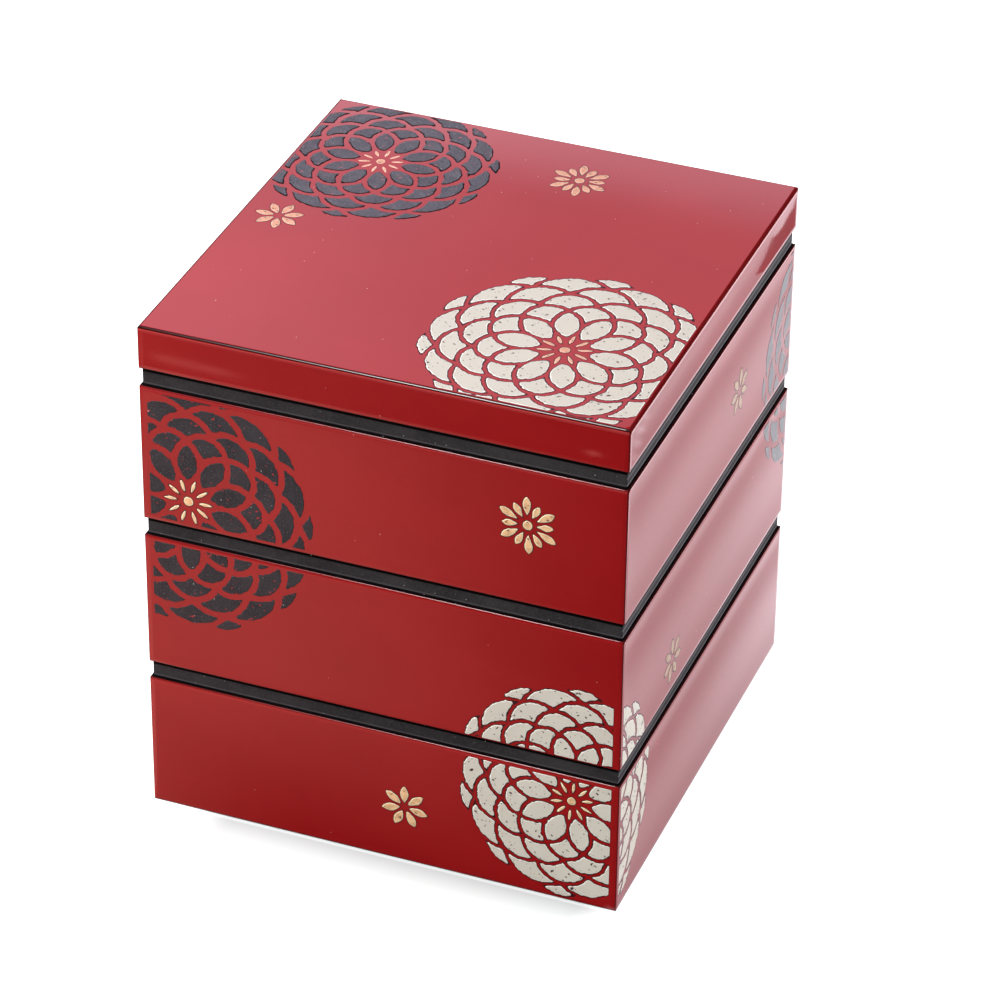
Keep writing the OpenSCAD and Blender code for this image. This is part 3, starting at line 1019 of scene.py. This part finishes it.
def floor_card_light(points):
    """Light of the floor card: what each face mirrors of it, and dark where only edges see it."""
    x, y = points[:, 0], points[:, 1]
    rgb = np.full((len(x), 3), 0.05)
    in_front = (y < -half + 4) & (x < half + 5)
    seen = mirrored(points, 1, -half)
    value = front_glow(np.clip(seen[:, 0], -95, 95), seen[:, 2])
    value = np.where(seen[:, 0] < -91, 0.9 * (1 - smooth(-x, 120, 400)), value)
    warm = np.clip(value - 0.05, 0, None) * 1.7
    rgb[in_front] = np.stack((value + warm, value, value * 0.86), 1)[in_front]
    beside = (x > half - 4) & (y > -half)
    seen = mirrored(points, 0, half)
    value = right_glow(np.clip(seen[:, 1], -95, 95), seen[:, 2])
    value = value + (EDGE_SHINE - value) * smooth(x, 208, 226) * (1 - smooth(x, 300, 316))
    rgb[beside] = (value[:, None] * np.array((1.0, 1.0, 1.07)))[beside]
    return rgb


def far_card_light(points):
    """Beyond the floor card: bright far in front, where the upper front edges see it, else dark."""
    x, y = points[:, 0], points[:, 1]
    value = np.where(y < -500, 0.5, 0.02)
    value = np.where(x > 330, 0.02, value)
    return value[:, None] * np.ones(3)


def overhead_light(points):
    """A soft light over the front, which draws the thin highlight on the upper front edges."""
    value = OVERHEAD_LIGHT * hill(points[:, 0], OVERHEAD_X, OVERHEAD_WIDE)
    return value[:, None] * np.array((1.0, 1.0, 1.02))


def back_card_light(points):
    seen = mirrored(points, 2, lid_top)
    value = top_glow(np.clip(seen[:, 0], -110, 110), np.clip(seen[:, 1], -110, 110))
    for side in (0, 1):
        value = value * (1 - smooth(np.abs(seen[:, side]), 105, 230))
    value = np.where(seen[:, 0] > half + 2, DIM, value)
    return value[:, None] * np.array((1.0, 1.0, 1.20))


def add_cards():
    card("floor_glow", np.arange(-400, 321, 2.5), np.arange(-520, 601, 2.5), level_at(FLOOR_CARD_Z),
         floor_card_light)
    card("far_glow", np.arange(-1200, 1201, 20), np.arange(-1600, 1601, 20), level_at(FAR_Z), far_card_light)
    card("back_glow", np.arange(-700, 301, 4), np.arange(330, 900, 4),
         lambda u, v: np.stack((u, np.full(u.shape, BACK_CARD_Y), v), 1), back_card_light)
    card("overhead_glow", np.arange(-440, 1, 10), np.arange(-500, -215, 10), level_at(OVERHEAD_Z),
         overhead_light)
    add_wedge("wedge_edge", grown(WEDGE, 0.35), WEDGE_EDGE_Z, WEDGE_EDGE_LIGHT)
    add_wedge("wedge", WEDGE, WEDGE_Z, WEDGE_LIGHT)


def add_world():
    """Soft even light all round, white behind the floor; in reflections a dark room with a light ceiling."""
    world = bpy.data.worlds.new("studio_light")
    world.use_nodes = True
    g = Graph(world.node_tree)
    rise = g.add("SeparateXYZ", g.add("TexCoord").outputs["Generated"]).outputs[2]
    room = g.ramp(rise, 0.62, 0.90, 0.02, 0.50)
    rays = g.add("LightPath").outputs
    light = g.add("Mix", rays["Is Glossy Ray"], None, EVEN_LIGHT, room).outputs[0]
    light = g.add("Mix", rays["Is Camera Ray"], None, light, WHITE_BEHIND).outputs[0]
    sky = g.tree.nodes["Background"].inputs
    g.feed(sky["Strength"], light)
    g.feed(sky["Color"], (0.97, 0.97, 1.0, 1))
    bpy.context.scene.world = world


def area_light(name, place, aim, size, power, colour):
    data = bpy.data.lights.new(name, "AREA")
    data.shape, data.size, data.energy, data.color = "SQUARE", size, power, colour
    lamp = placed(name, data)
    lamp.location = place
    lamp.rotation_euler = (Vector(aim) - Vector(place)).to_track_quat("-Z", "Y").to_euler()
    lamp.visible_glossy = False


def add_studio():
    """A white floor, soft light all round, a large soft light on the left and a weak one on the right."""
    add_floor()
    add_world()
    area_light("key", (-0.55, -0.35, 0.75), (0, 0, 0.12), 0.5, 11.0, (1.0, 0.99, 0.97))
    area_light("fill", (0.75, 0.45, 0.45), (0, 0, 0.12), 0.5, 7.0, (1, 1, 1))
    add_cards()
    scene = bpy.context.scene
    scene.view_settings.view_transform = "Standard"
    scene.view_settings.look = "None"


# ---- the object

def paint_nodes():
    """Gives every CAD node its lacquer, in the node's own material slots."""
    wall = red_lacquer("red_lacquer_walls", side_board_tone)
    lid = red_lacquer("red_lacquer_lid", lid_board_tone)
    black = black_lacquer("black_lacquer_rims")
    for name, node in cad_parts.items():
        if name == "lid_top":
            material = lid
        elif "wall" in name or "skirt" in name:
            material = wall
        else:
            material = black
        if not node.data.materials:
            node.data.materials.append(material)
        for index in range(len(node.data.materials)):
            node.data.materials[index] = material


def print_paints():
    """Each paint as the materials of its plate: its own and, for some, its rim's. The lid's, the front's and
    the sides' copies of one paint have colours set apart for the light each face gets: painted light and
    shade.
    """
    return {
        "white": (white_print("white_print_walls", False, (0.640, 0.590, 0.505)),
                  highlight_rim("white_highlight_rim_walls", (0.86, 0.82, 0.74))),
        "lid_white": (white_print("white_print_lid", True, (0.475, 0.440, 0.395)),
                      highlight_rim("white_rim_lid", (0.80, 0.78, 0.75))),
        "black": (black_print("black_print_front", False, (0.0170, 0.0180, 0.0210), (0.050, 0.047, 0.053),
                              (0.37, 0.030, 0.032), ior=1.20, rough=0.34, relief=0.000010),),
        "side_black": (black_print("black_print_sides", False, (0.0140, 0.0130, 0.0190),
                                   (0.055, 0.050, 0.058), (0.45, 0.060, 0.060),
                                   ior=1.75, rough=0.17, relief=0.000004),),
        "lid_black": (black_print("black_print_lid", True, (0.014, 0.013, 0.020), (0.112, 0.097, 0.124),
                                  (0.36, 0.08, 0.09), ior=1.5, rough=0.34, relief=0.000010),
                      black_rim("black_rim_lid")),
        "gold": (gold_print("gold_print_front", False, (0.930, 0.620, 0.330)),
                 highlight_rim("gold_highlight_rim_front", (1.00, 0.82, 0.54))),
        "side_gold": (gold_print("gold_print_sides", False, (0.400, 0.260, 0.160), 0.0, 0.18),),
        "lid_gold": (gold_print("gold_print_lid", True, (0.690, 0.345, 0.245)),
                     highlight_rim("gold_rim_lid", (0.84, 0.51, 0.39))),
        "line": (shade_line("print_edge_shade"),),
    }


add_camera()
add_studio()
paint_nodes()
paints = print_paints()
lid_prints()
for a_face, a_seed in (("front", 100), ("back", 300)):
    side_prints(a_face, a_seed, SIDE_MARGIN, WIDE_ROUNDELS, WIDE_ROUNDELS[::2], WIDE_FLOWERS, "gold")
for a_face, a_seed in (("right", 200), ("left", 400)):
    side_prints(a_face, a_seed, WRAP_MARGIN, WRAP_ROUNDELS, (), WRAP_FLOWERS, "side_gold")
